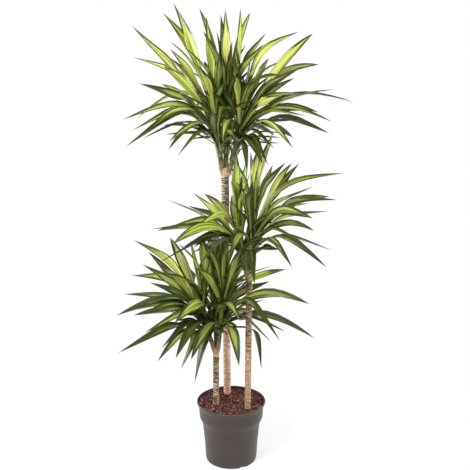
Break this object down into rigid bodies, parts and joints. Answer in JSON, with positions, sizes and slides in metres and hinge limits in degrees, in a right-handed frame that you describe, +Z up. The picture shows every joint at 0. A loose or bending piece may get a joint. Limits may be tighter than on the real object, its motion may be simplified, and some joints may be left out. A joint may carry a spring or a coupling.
{
  "type": "potted dracaena",
  "caption": "Potted dracaena: bare ringed canes of stepped heights, topped with heads of long arching green and lime leaves, in a plain nursery pot of soil.",
  "frame": {"origin": "on the pot's axis, in the plane that the pot stands on", "axes": "+Z up along the canes, +X to the viewer's right in the picture, +Y away from the viewer"},
  "size_m": [0.884, 0.8234, 1.7632],
  "materials": {
    "pot": "injection-moulded polypropylene, taupe grey, satin with a fine grain",
    "soil": "loose reddish-brown bark and coco fibre",
    "bark": "dry pinkish-tan bark with ring scars and olive patches",
    "leaf": "waxy leathery leaf, dark green with a lime band along the middle"
  },
  "bodies": {
    "root": {"pot": "pot", "soil": "soil", "cane_tall": "bark", "cane_middle": "bark", "cane_short": "bark", "head_tall_left": "leaf", "head_tall_back": "leaf", "head_tall_right": "leaf", "head_middle_left": "leaf", "head_middle_right": "leaf", "head_short_left": "leaf", "head_short_back": "leaf", "head_short_right": "leaf"}
  },
  "joints": []
}
